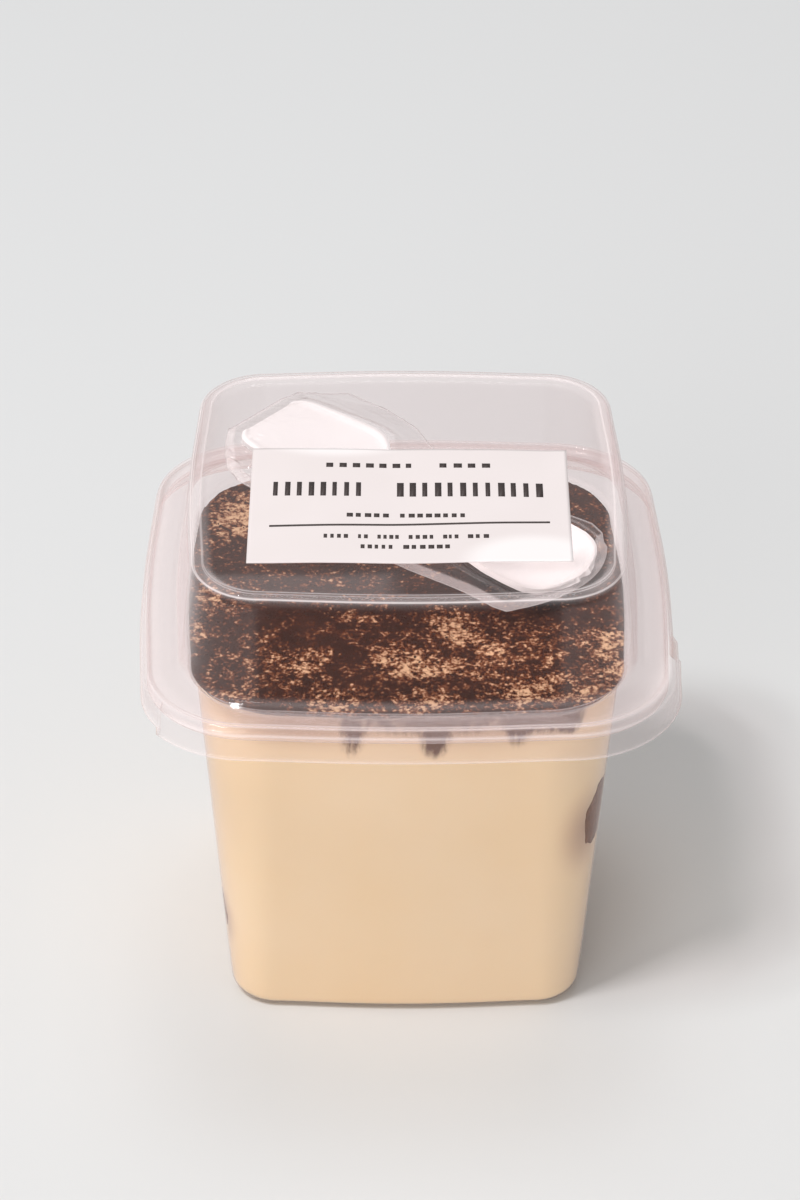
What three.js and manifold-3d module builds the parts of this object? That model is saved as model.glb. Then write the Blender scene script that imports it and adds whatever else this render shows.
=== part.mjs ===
// A single-serve tiramisu in a clear plastic box: a tapered square cup filled with cream and dusted
// with cocoa, a clip-on domed lid, a white spoon in a clear film sleeve under the dome, and a paper
// label on top. Millimetres, +Z up, the box's front faces -Y, the origin is under the middle of its
// bounding box.
import * as THREE from "three";
import { mergeVertices } from "three/addons/utils/BufferGeometryUtils.js";
import Module from "manifold-3d";

const wasm = await Module();
wasm.setup();

// Clearances and sheet thickness
const GAP = 0.3; // between pieces that touch
const WALL = 0.6; // formed sheet of the cup and the lid
const SIDE_BULGE = 1.1; // how far each flat side bows out between its corners

// Cup
const BASE_HALF = 35.2;
const BASE_CORNER = 8.5;
const BASE_FILLET = 3.6;
const WALL_TOP = { half: 40.95, corner: 15.7, z: 74.2 };
const CUP_RIM_Z = 76.9; // top face of the cup's flange
const CUP_FLANGE_HALF = 48.7;

// Lid
const SKIRT_FOOT = { half: 51.2, corner: 20.6, z: 72.65 };
const OPENING_LIP = 1.3; // the skirt's foot stands out this much more where the lid is lifted
const DOME_BASE = { half: 43.9, corner: 15.7, z: 79.3 };
const DOME_TOP = { half: 41.45, corner: 13.2, z: 99.1 };
const CROWN_Z = 101;
const PANEL_Z = 100.1; // the dome's flat panel lies a little below its crown
const PANEL_HALF = 37.6;
const LIP_STARTS_ON_SIDE = -0.64; // on the right side, as a share from its middle to its front end
const LIP_STARTS_ON_CORNER = 0.4; // on the front-left corner, as a share of its quarter turn

// Contents
const CREAM_TOP = 75.1;
const CREAM_DOME = 0.7; // rise of the cream from the wall to the middle
const COCOA_THICKNESS = 0.8;
const COCOA_CRUMB = 0.3;
const SPONGES = [
  { name: "sponge_right", centre: [33, -30.6, 46], size: [6.6, 6.6, 8.2], phase: 0.4 },
  { name: "sponge_left", centre: [-32.8, -27, 18.6], size: [4.4, 4.6, 5.6], phase: 2.1 },
];

// Spoon, measured along its own axis from the end of its handle
const SPOON_ORIGIN = new THREE.Vector3(-26.9, 28.7, 97);
const SPOON_AZIMUTH = THREE.MathUtils.degToRad(-27.5);
const SPOON_SLOPE = -0.252; // the bowl lies on the cocoa, the handle's end leans high at the back left
const SPOON_LENGTH = 69.5;
const SPOON_THICKNESS = 1.3;
const PADDLE = { from: 0, to: 28, half: 11.9, endPower: 3.4, neckPower: 2 };
const BOWL = { from: 41, to: SPOON_LENGTH, half: 11.2, endPower: 3, neckPower: 2 };
const NECK_HALF = 4.3;
const BOWL_DEPTH = 5;
const PADDLE_DISH = 0.7;

// Film sleeve, in the spoon's frame
const SLEEVE = { from: -5, to: 72, thickness: 0.8 };
const SLEEVE_EDGES = { back: [-17, 20.5], front: [-21.8, 15] };
const SLEEVE_SAG = 1.4;

// Label
const LABEL = { width: 60, height: 39.6, thickness: 0.3 };
const LABEL_CENTRE = [0.6, -8.4];
const LABEL_TURN = THREE.MathUtils.degToRad(-0.4);
const LABEL_CURL = 0.8; // how high its front-right corner has lifted

// Facets
const CORNER_STEPS = 6;
const SIDE_STOPS = [-0.5, 0, 0.5];
const TOP_SHARES = [0.97, 0.86, 0.72, 0.57, 0.42, 0.27, 0.13];

const FINISHES = {
  clear: { color: "#e9e4e4", roughness: 0.08, metalness: 0, transparent: true, opacity: 0.3 },
  cream: { color: "#f0d3ab", roughness: 0.5, metalness: 0 },
  cocoa: { color: "#45291d", roughness: 0.95, metalness: 0 },
  sponge: { color: "#6b4128", roughness: 0.85, metalness: 0 },
  white: { color: "#f6f3f2", roughness: 0.35, metalness: 0 },
  film: { color: "#ece8e8", roughness: 0.1, metalness: 0, transparent: true, opacity: 0.25 },
  paper: { color: "#f3eeec", roughness: 0.7, metalness: 0 },
};

// The places round a rounded square, anticlockwise from the right side. Each lies on a side, as a
// share from the side's middle to its end, or on a corner, at a turn. lip is 1 where the skirt stands
// out.
function placesAround() {
  const places = [];
  const notch = 0.02;
  for (let quarter = 0; quarter < 4; quarter++) {
    const facing = (quarter * Math.PI) / 2;
    const stops = [...SIDE_STOPS];
    if (quarter === 0) stops.push(LIP_STARTS_ON_SIDE - notch, LIP_STARTS_ON_SIDE + notch);
    for (const along of stops.sort((a, b) => a - b)) {
      const lip = quarter === 3 || (quarter === 0 && along < LIP_STARTS_ON_SIDE) ? 1 : 0;
      places.push({ facing, along, lip });
    }
    const shares = Array.from({ length: CORNER_STEPS + 1 }, (_, i) => i / CORNER_STEPS);
    if (quarter === 2) shares.push(LIP_STARTS_ON_CORNER - notch, LIP_STARTS_ON_CORNER + notch);
    for (const share of shares.sort((a, b) => a - b)) {
      const lip = quarter === 3 || (quarter === 2 && share > LIP_STARTS_ON_CORNER) ? 1 : 0;
      places.push({ facing, share, lip });
    }
  }
  return places;
}

const PLACES = placesAround();

// One closed ring of points round a rounded square. A station gives its half-width at the middle of a
// side, its corner radius, its height, and how much of the opening lip it has.
function ring({ half, corner, z, lip = 0 }) {
  const bulge = SIDE_BULGE * Math.min(1, half / BASE_HALF);
  const straight = half - bulge - corner;
  return PLACES.map((place) => {
    const out = lip * place.lip * OPENING_LIP;
    const facing = new THREE.Vector3(Math.cos(place.facing), Math.sin(place.facing), 0);
    const across = new THREE.Vector3(-facing.y, facing.x, 0);
    const point = new THREE.Vector3(0, 0, z);
    if (place.share === undefined) {
      point.addScaledVector(facing, half - bulge * place.along ** 2 + out);
      return point.addScaledVector(across, place.along * straight);
    }
    const turn = (place.share * Math.PI) / 2;
    point.addScaledVector(facing, straight + (corner + out) * Math.cos(turn));
    return point.addScaledVector(across, straight + (corner + out) * Math.sin(turn));
  });
}

// Faces that close a round ring, as a fan from its middle
function fanFaces(points, base, count) {
  const middle = new THREE.Vector3();
  for (const point of points.slice(base, base + count)) middle.addScaledVector(point, 1 / count);
  const centre = points.push(middle) - 1;
  return Array.from({ length: count }, (_, i) => [centre, base + i, base + ((i + 1) % count)]);
}

// Faces that close a flat ring, whose second half runs back beside its first
function stripFaces(points, base, count) {
  return Array.from({ length: count / 2 - 1 }, (_, i) => {
    const front = base + i;
    const back = base + count - 1 - i;
    return [front, front + 1, back - 1, front, back - 1, back];
  });
}

// A closed surface through rings of equal length, whose first and last ring closeRing fills
function loft(rings, closeRing = fanFaces) {
  const count = rings[0].length;
  const points = rings.flat();
  const faces = [];
  for (let k = 0; k + 1 < rings.length; k++) {
    for (let i = 0; i < count; i++) {
      const a = k * count + i;
      const b = k * count + ((i + 1) % count);
      faces.push(a, b, b + count, a, b + count, a + count);
    }
  }
  const first = closeRing(points, 0, count).flat().reverse();
  const last = closeRing(points, (rings.length - 1) * count, count).flat();
  return new THREE.BufferGeometry().setFromPoints(points).setIndex([...faces, ...first, ...last]);
}

// The stations of a profile moved by a distance to its left, which is into the sheet. The corner
// radius follows, so the moved surface stays parallel.
function offsetStations(stations, distance) {
  const flat = stations.map((s) => new THREE.Vector2(s.half, s.z));
  const normals = flat.slice(1).map((p, i) => {
    const along = p.clone().sub(flat[i]).normalize();
    return new THREE.Vector2(-along.y, along.x);
  });
  return stations.map((station, i) => {
    const before = normals[Math.max(i - 1, 0)];
    const after = normals[Math.min(i, normals.length - 1)];
    const mean = before.clone().add(after).normalize();
    const step = mean.multiplyScalar(distance / mean.dot(before));
    return {
      ...station,
      half: station.half + step.x,
      corner: Math.max(station.corner + step.x, 0.5),
      z: station.z + step.y,
    };
  });
}

// Stations on an arc whose centre is given as a station. Angles are in degrees from level, outwards.
function arcStations(centre, radius, from, to, steps) {
  return Array.from({ length: steps + 1 }, (_, i) => {
    const angle = THREE.MathUtils.degToRad(from + ((to - from) * i) / steps);
    return {
      half: centre.half + radius * Math.cos(angle),
      corner: centre.corner + radius * Math.cos(angle),
      z: centre.z + radius * Math.sin(angle),
    };
  });
}

// A closed mesh geometry as a solid that can be cut and joined
function toSolid(geometry) {
  const bare = new THREE.BufferGeometry();
  const flat = geometry.index ? geometry.toNonIndexed() : geometry;
  bare.setAttribute("position", flat.getAttribute("position"));
  const merged = mergeVertices(bare, 1e-3);
  return new wasm.Manifold(
    new wasm.Mesh({
      numProp: 3,
      vertProperties: merged.attributes.position.array,
      triVerts: new Uint32Array(merged.index.array),
    }),
  );
}

function toGeometry(solid) {
  const { vertProperties, triVerts } = solid.getMesh();
  const geometry = new THREE.BufferGeometry();
  geometry.setAttribute("position", new THREE.BufferAttribute(new Float32Array(vertProperties), 3));
  return geometry.setIndex(new THREE.BufferAttribute(new Uint32Array(triVerts), 1));
}

function piece(name, geometry, finish) {
  geometry.computeVertexNormals();
  const mesh = new THREE.Mesh(geometry, new THREE.MeshStandardMaterial(FINISHES[finish]));
  mesh.name = name;
  return mesh;
}

// A thin formed sheet: the outer stations and the same ones moved inwards
function shellRings(outer) {
  return { outer: outer.map(ring), inner: offsetStations(outer, WALL).map(ring) };
}

// Cup
const foot = { half: BASE_HALF - BASE_FILLET, corner: BASE_CORNER - BASE_FILLET, z: BASE_FILLET };
const footMiddle = { half: BASE_HALF / 2, corner: BASE_CORNER / 3, z: 0 };
const cupWallStations = [footMiddle, ...arcStations(foot, BASE_FILLET, -90, 0, 4), WALL_TOP];
const cupFlangeUnder = CUP_RIM_Z - WALL;
const cupStations = [
  ...cupWallStations,
  { half: 42.1, corner: 16.3, z: 75.6 },
  { half: 42.5, corner: 16.6, z: cupFlangeUnder - 0.1 },
  { half: 43.1, corner: 17, z: cupFlangeUnder },
  { half: CUP_FLANGE_HALF, corner: 18.8, z: cupFlangeUnder },
  { half: CUP_FLANGE_HALF + 0.8, corner: 19.4, z: cupFlangeUnder - 0.8 },
];

function cup() {
  const { outer, inner } = shellRings(cupStations);
  return piece("cup", loft([...outer, ...inner.reverse()]), "clear");
}

// Lid: skirt, rim bead, clip groove, dome and panel
const skirtStations = [
  { ...SKIRT_FOOT, lip: 1 },
  { half: 50.75, corner: 20.1, z: 77.4, lip: 0.7 },
  { half: 50.35, corner: 19.7, z: 78.6, lip: 0.3 },
  { half: 49.8, corner: 19.2, z: 79 },
  { half: 49.3, corner: 18.9, z: 78.8 },
  { half: 48.8, corner: 18.6, z: 77.9 },
  { half: 46.9, corner: 17.6, z: 78.3 },
  { half: DOME_BASE.half + 0.8, corner: DOME_BASE.corner + 0.5, z: DOME_BASE.z - 0.7 },
];
const domeStations = [
  DOME_BASE,
  DOME_TOP,
  { half: 41.2, corner: 12.9, z: CROWN_Z - 0.9 },
  { half: 40.6, corner: 12.4, z: CROWN_Z - 0.2 },
  { half: 39.7, corner: 11.6, z: CROWN_Z },
  { half: 39.1, corner: 11, z: CROWN_Z },
  { half: PANEL_HALF + 0.8, corner: 10.4, z: PANEL_Z + 0.15 },
  { half: PANEL_HALF, corner: 9.7, z: PANEL_Z },
  { half: PANEL_HALF / 2, corner: 5, z: PANEL_Z },
];

function lid() {
  const { outer, inner } = shellRings([...skirtStations, ...domeStations]);
  return piece("lid", loft([...inner.reverse(), ...outer]), "clear");
}

// The cream's upper surface: a low dome with the uneven waves that a spatula leaves
function creamTop(x, y) {
  const dome = CREAM_DOME * (1 - Math.min(1, (x * x + y * y) / (WALL_TOP.half * WALL_TOP.half)));
  const waves = 0.3 * Math.sin(0.15 * x + 0.7) * Math.cos(0.13 * y - 0.4);
  return CREAM_TOP + dome + waves + 0.12 * Math.sin(0.34 * x - 0.29 * y + 1.2);
}

// Rings over the cream from its edge to near its middle, each point lifted by heightAt
function topRings(edge, heightAt) {
  return [1, ...TOP_SHARES].map((share) =>
    edge.map((p) => {
      const x = p.x * share;
      const y = p.y * share;
      return new THREE.Vector3(x, y, heightAt(x, y));
    }),
  );
}

const creamWallStations = offsetStations(cupWallStations, WALL + GAP);
const creamEdge = ring(creamWallStations.at(-1));

// The cream as if nothing were sunk in it
function wholeCream() {
  const sides = creamWallStations.map(ring);
  return toSolid(loft([...sides, ...topRings(creamEdge, creamTop)]));
}

// A soaked piece of sponge, a lump with a gently uneven surface
function spongeLump({ centre, size, phase }, extra) {
  const lump = new THREE.SphereGeometry(1, 16, 12);
  const position = lump.getAttribute("position");
  const point = new THREE.Vector3();
  for (let i = 0; i < position.count; i++) {
    point.fromBufferAttribute(position, i);
    const uneven = 1 + 0.07 * Math.sin(4 * point.x + phase) * Math.cos(5 * point.z - phase);
    point.set(
      centre[0] + point.x * (size[0] * uneven + extra),
      centre[1] + point.y * (size[1] * uneven + extra),
      centre[2] + point.z * (size[2] * uneven + extra),
    );
    position.setXYZ(i, point.x, point.y, point.z);
  }
  return toSolid(lump);
}

function creamAndSponges() {
  const whole = wholeCream();
  let cream = whole;
  const sponges = SPONGES.map((sponge) => {
    cream = cream.subtract(spongeLump(sponge, GAP));
    return piece(sponge.name, toGeometry(whole.intersect(spongeLump(sponge, 0))), "sponge");
  });
  return [piece("cream", toGeometry(cream), "cream"), ...sponges];
}

// Seeded random numbers from 0 to 1
function seededRandom(seed) {
  let state = seed;
  return () => {
    state = (state * 1664525 + 1013904223) % 4294967296;
    return state / 4294967296;
  };
}

// The cocoa dusting: a thin uneven layer that follows the cream
function cocoa() {
  const random = seededRandom(7);
  const under = topRings(creamEdge, (x, y) => creamTop(x, y) + GAP).reverse();
  const over = topRings(
    creamEdge,
    (x, y) => creamTop(x, y) + GAP + COCOA_THICKNESS + COCOA_CRUMB * (random() - 0.5),
  );
  return piece("cocoa", loft([...under, ...over]), "cocoa");
}

// A sheet in a frame whose first axis runs along it: edges gives its two edges at a place along it,
// height its middle surface.
function sheet({ stops, edges, height, thickness, across }) {
  const rings = stops.map((u) => {
    const [low, high] = edges(u);
    const line = Array.from({ length: across + 1 }, (_, i) => high + ((low - high) * i) / across);
    const at = (v, side) => new THREE.Vector3(u, v, height(u, v) + (side * thickness) / 2);
    return [...line.map((v) => at(v, 1)), ...line.reverse().map((v) => at(v, -1))];
  });
  return loft(rings, stripFaces);
}

// Half-width of one rounded end of the spoon
function lobeHalfWidth(lobe, u, endIsLow) {
  const middle = (lobe.from + lobe.to) / 2;
  const share = (u - middle) / ((lobe.to - lobe.from) / 2);
  if (Math.abs(share) >= 1) return 0;
  const power = share < 0 === endIsLow ? lobe.endPower : lobe.neckPower;
  return lobe.half * (1 - Math.abs(share) ** power) ** (1 / power);
}

function spoonHalfWidth(u) {
  const paddle = lobeHalfWidth(PADDLE, u, true);
  const bowl = lobeHalfWidth(BOWL, u, false);
  const neck = u > 8 && u < 60 ? NECK_HALF : 0;
  return (paddle ** 4 + bowl ** 4 + neck ** 4) ** 0.25;
}

// How far the spoon's middle surface lies under its rim: a deep bowl and a slightly dished handle
function spoonDish(u, v) {
  const hollow = (lobe, depth) => {
    const share = (2 * u - lobe.from - lobe.to) / (lobe.to - lobe.from);
    return Math.abs(share) < 1 ? depth * (1 - share * share) ** 1.4 : 0;
  };
  const half = Math.max(spoonHalfWidth(u), 1);
  const section = 1 - Math.min(1, (v / half) ** 2);
  return -(hollow(BOWL, BOWL_DEPTH) + hollow(PADDLE, PADDLE_DISH)) * section;
}

// Places along the spoon, closer together near its two round ends
function spoonStops() {
  const ends = [0.004, 0.02, 0.06, 0.13, 0.23, 0.37, 0.55, 0.75, 1];
  const lobe = (from, to) => ends.map((share) => from + (to - from) * share);
  const paddle = lobe(0, PADDLE.to * 0.8);
  const bowl = lobe(SPOON_LENGTH, BOWL.from + 4).reverse();
  return [...paddle, PADDLE.to - 2, PADDLE.to + 1.5, 35, BOWL.from, ...bowl];
}

// The spoon's own frame: its first axis runs from the handle's end to the bowl's end
function spoonFrame() {
  const slope = Math.atan(SPOON_SLOPE);
  const along = new THREE.Vector3(
    Math.cos(SPOON_AZIMUTH) * Math.cos(slope),
    Math.sin(SPOON_AZIMUTH) * Math.cos(slope),
    Math.sin(slope),
  );
  const across = new THREE.Vector3(0, 0, 1).cross(along).normalize();
  const up = along.clone().cross(across);
  return new THREE.Matrix4().makeBasis(along, across, up).setPosition(SPOON_ORIGIN);
}

function spoon() {
  const geometry = sheet({
    stops: spoonStops(),
    edges: (u) => [-spoonHalfWidth(u), spoonHalfWidth(u)],
    height: spoonDish,
    thickness: SPOON_THICKNESS,
    across: 8,
  });
  return piece("spoon", geometry, "white");
}

// An upright block over the spoon's outline, a gap larger all round
function spoonRoom() {
  const stretch = (SPOON_LENGTH + 2 * GAP) / SPOON_LENGTH;
  const stops = spoonStops();
  const side = (sign) =>
    stops.map((u) => new THREE.Vector2(u * stretch - GAP, sign * (spoonHalfWidth(u) + GAP)));
  const outline = new THREE.Shape([...side(-1), ...side(1).reverse()]);
  const block = new THREE.ExtrudeGeometry(outline, { depth: 24, bevelEnabled: false });
  return toSolid(block.translate(0, 0, -12));
}

// The room under the dome, less the clearance that the sleeve's edge keeps to the wall
function domeRoom(frame) {
  const room = loft(offsetStations(domeStations, WALL + 2 * GAP).map(ring));
  return toSolid(room.applyMatrix4(frame.clone().invert()));
}

// The sleeve's pressed margins round the spoon, which trail down at the corners and end at the dome
function sleeve(frame) {
  const share = (u) => (u - SLEEVE.from) / (SLEEVE.to - SLEEVE.from);
  const edge = (u, side) =>
    THREE.MathUtils.lerp(SLEEVE_EDGES.back[side], SLEEVE_EDGES.front[side], share(u));
  const margins = toSolid(
    sheet({
      stops: Array.from({ length: 15 }, (_, i) => THREE.MathUtils.lerp(SLEEVE.from, SLEEVE.to, i / 14)),
      edges: (u) => [edge(u, 0), edge(u, 1)],
      height: (u, v) => 0.35 * Math.sin(0.3 * u) * Math.cos(0.2 * v) - SLEEVE_SAG * (v / 20) ** 2,
      thickness: SLEEVE.thickness,
      across: 10,
    }),
  );
  const trimmed = margins.intersect(domeRoom(frame)).subtract(spoonRoom());
  return piece("sleeve", toGeometry(trimmed), "film");
}

function spoonInSleeve() {
  const frame = spoonFrame();
  const group = new THREE.Group().add(spoon(), sleeve(frame));
  frame.decompose(group.position, group.quaternion, group.scale);
  return group;
}

// The label: a thin sheet on the panel with a slight wave, its front-right corner lifting
function label() {
  const { width, height, thickness } = LABEL;
  const lift = (x, y) => {
    const corner = Math.max(0, x / width + 0.5 + (0.5 - y / height) - 1.2) / 0.8;
    return LABEL_CURL * corner ** 2 + 0.12 * (1 - Math.cos((4 * Math.PI * x) / width));
  };
  const geometry = sheet({
    stops: Array.from({ length: 13 }, (_, i) => width * (i / 12 - 0.5)),
    edges: () => [-height / 2, height / 2],
    height: lift,
    thickness,
    across: 6,
  });
  const mesh = piece("label", geometry, "paper");
  mesh.rotation.z = LABEL_TURN;
  mesh.position.set(...LABEL_CENTRE, PANEL_Z + GAP + thickness / 2);
  return mesh;
}

// The lip widens the lid to the front and the right, so the whole is moved back over its origin
const box = new THREE.Group();
box.add(cup(), lid(), ...creamAndSponges(), cocoa(), spoonInSleeve(), label());
const middle = new THREE.Box3().setFromObject(box).getCenter(new THREE.Vector3());
box.position.set(-middle.x, -middle.y, 0);

const tiramisu = new THREE.Group();
tiramisu.add(box);

export default tiramisu;
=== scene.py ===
"""A single-serve tiramisu in its clear box: cocoa-dusted cream, a sleeved spoon and a paper label.

Every length is in millimetres in the box's own frame, whose axis is the middle of the cup, with the
front facing -Y. finish_piece() takes a finished mesh from there to metres in the row's frame.
"""
import sys

import logging
import math
import random
from collections.abc import Callable, Sequence
from dataclasses import dataclass, field
from enum import Enum

import bmesh
import bpy
from mathutils import Matrix, Vector, noise


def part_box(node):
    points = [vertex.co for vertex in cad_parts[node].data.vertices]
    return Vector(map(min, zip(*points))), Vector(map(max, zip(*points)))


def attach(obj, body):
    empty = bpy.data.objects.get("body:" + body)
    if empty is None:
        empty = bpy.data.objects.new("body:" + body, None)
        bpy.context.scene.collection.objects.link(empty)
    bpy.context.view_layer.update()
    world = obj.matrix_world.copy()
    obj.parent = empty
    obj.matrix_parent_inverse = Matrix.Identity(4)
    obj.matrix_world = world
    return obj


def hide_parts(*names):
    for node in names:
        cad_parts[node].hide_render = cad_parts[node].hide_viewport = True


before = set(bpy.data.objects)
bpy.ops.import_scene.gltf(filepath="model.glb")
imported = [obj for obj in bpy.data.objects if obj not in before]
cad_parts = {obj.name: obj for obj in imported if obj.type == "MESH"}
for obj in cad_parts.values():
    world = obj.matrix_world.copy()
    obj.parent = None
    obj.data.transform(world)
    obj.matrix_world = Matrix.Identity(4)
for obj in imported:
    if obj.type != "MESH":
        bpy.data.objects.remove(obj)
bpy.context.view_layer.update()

LOG = logging.getLogger("tiramisu")
MM = 0.001

SIDE_BULGE = 1.1
BASE_HALF = 35.2
WALL_HALF, WALL_CORNER, WALL_Z = 40.95, 15.7, 74.2  # the top of the cup's tapered wall
SHEET = 0.45  # clear PET, cup and lid
DOME_FOOT_HALF, DOME_FOOT_Z = 43.9, 79.3
DOME_TOP_HALF, DOME_TOP_Z = 41.45, 99.1
PANEL_Z = 100.1


class Slot(Enum):
    """The record's material slots."""

    CLEAR = "clear_plastic"
    CREAM = "cream"
    COCOA = "cocoa"
    SPONGE = "sponge"
    SPOON = "white_plastic"
    FILM = "film"
    LABEL = "label_paper"


def linear(hex_colour: str) -> tuple[float, float, float, float]:
    """An sRGB hex colour as the linear RGBA that a shader takes.

    Args:
        hex_colour: A colour such as "#f0d3ab".

    Returns:
        Red, green, blue and an alpha of 1.
    """
    channels = [int(hex_colour[i : i + 2], 16) / 255 for i in (1, 3, 5)]
    red, green, blue = (c / 12.92 if c <= 0.04045 else ((c + 0.055) / 1.055) ** 2.4 for c in channels)
    return red, green, blue, 1.0


def smoothstep(value: float, low: float, high: float) -> float:
    """0 below low, 1 above high and a smooth rise between them."""
    share = min(1.0, max(0.0, (value - low) / (high - low)))
    return share * share * (3 - 2 * share)


def interpolate(table: Sequence[tuple[float, float]], at: float) -> float:
    """The value of a piecewise linear curve.

    Args:
        table: Pairs of place and value, in rising order of place.
        at: The place to read.

    Returns:
        The value there, held constant past either end.
    """
    if at <= table[0][0]:
        return table[0][1]
    for (x0, y0), (x1, y1) in zip(table, table[1:]):
        if at <= x1:
            return y0 + (y1 - y0) * (at - x0) / (x1 - x0)
    return table[-1][1]


# Nodes and finishes


def add_node(
    tree: bpy.types.NodeTree,
    kind: str,
    inputs: dict | None = None,
    output: int | str = 0,
    **settings: object,
) -> bpy.types.NodeSocket | None:
    """Adds a shader node with its settings, input values and links.

    Args:
        tree: The node tree that gets the node.
        kind: The node's class name without its ShaderNode.
        inputs: By the input's name or number, a socket to link, a value, or a colour as hex text.
        output: Name or number of the output that is wanted.
        **settings: Properties of the node itself.

    Returns:
        The wanted output socket, or None for a node that has none.
    """
    node = tree.nodes.new("ShaderNode" + kind)
    for name, value in settings.items():
        setattr(node, name, value)
    for name, value in (inputs or {}).items():
        if isinstance(value, bpy.types.NodeSocket):
            tree.links.new(value, node.inputs[name])
        else:
            node.inputs[name].default_value = linear(value) if isinstance(value, str) else value
    return node.outputs[output] if node.outputs else None


def new_material(name: str) -> tuple[bpy.types.Material, bpy.types.NodeTree]:
    """An empty node material and its tree."""
    material = bpy.data.materials.new(name)
    material.use_nodes = True
    material.node_tree.nodes.clear()
    return material, material.node_tree


MIX_FIRST, MIX_SECOND, MIX_RESULT = 6, 7, 2  # the Mix node's colour sockets
COLOUR_MIX = {"kind": "Mix", "output": MIX_RESULT, "data_type": "RGBA"}
MULTIPLY_ADD = {"kind": "Math", "operation": "MULTIPLY_ADD"}


def close_material(
    tree: bpy.types.NodeTree,
    colour: bpy.types.NodeSocket,
    relief: tuple[bpy.types.NodeSocket, float, float],
    **sockets: object,
) -> None:
    """Ends an opaque material with its relief, its shader and the output.

    Args:
        tree: The material's tree.
        colour: Its colour.
        relief: The height to follow, how strongly, and how many millimetres it stands for.
        **sockets: The shader's own values, named as its sockets with _ for a space.
    """
    height, strength, distance = relief
    bump = add_node(tree, "Bump", {"Strength": strength, "Distance": distance * MM, "Height": height})
    values = {name.replace("_", " "): value for name, value in sockets.items()}
    shader = add_node(tree, "BsdfPrincipled", {"Base Color": colour, "Normal": bump, **values})
    add_node(tree, "OutputMaterial", {"Surface": shader})


@dataclass(frozen=True)
class ClearSheet:
    """Clear thermoformed or blown sheet: mirrors a little, more at a glancing angle, and tints.

    A tone is what one surface lets through. A mesh attribute makes the sheet pale and less clear: the
    film along its heat seals, and the lid and cup as painted highlight lines along their bends and
    painted reflection on the dome's corners and panel front.
    """

    name: str
    face_tone: str
    edge_tone: str
    milk: float
    milk_tone: str
    haze_and_sheen: float = 0.9
    glancing_milk: float = 0.45
    gloss: float = 0.009
    glancing_gloss: float = 0.5
    roughness: float = 0.05

    def material(self) -> bpy.types.Material:
        """The node material."""
        material, tree = new_material(self.name)
        facing = add_node(tree, "LayerWeight", {"Blend": 0.5}, "Facing")
        steep = add_node(tree, "Math", {0: facing, 1: 4.0}, operation="POWER")
        tones = {0: steep, MIX_FIRST: self.face_tone, MIX_SECOND: self.edge_tone}
        tint = add_node(tree, inputs=tones, **COLOUR_MIX)
        haze_and_sheen = add_node(tree, "Attribute", output="Fac", attribute_name="haze_and_sheen")
        still = add_node(tree, inputs={0: haze_and_sheen, 1: self.haze_and_sheen, 2: self.milk}, **MULTIPLY_ADD)
        amount = add_node(
            tree, inputs={0: steep, 1: self.glancing_milk, 2: still}, use_clamp=True, **MULTIPLY_ADD
        )
        mirror = add_node(
            tree, inputs={0: steep, 1: self.glancing_gloss, 2: self.gloss}, **MULTIPLY_ADD
        )
        through = add_node(tree, "BsdfTransparent", {"Color": tint})
        milk = add_node(tree, "BsdfDiffuse", {"Color": self.milk_tone})
        body = add_node(tree, "MixShader", {0: amount, 1: through, 2: milk})
        shine = add_node(tree, "BsdfGlossy", {"Color": "#ffffff", "Roughness": self.roughness})
        mixed = add_node(tree, "MixShader", {0: mirror, 1: body, 2: shine})
        add_node(tree, "OutputMaterial", {"Surface": mixed})
        return material


@dataclass(frozen=True)
class SmearOrShade:
    """A dark patch on the cream's side, used both for cocoa smeared against the clear wall and for
    painted shade under the flange and round the sponge pieces.
    """

    centre: tuple[float, float, float]
    reach: tuple[float, float, float]
    strength: float


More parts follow.
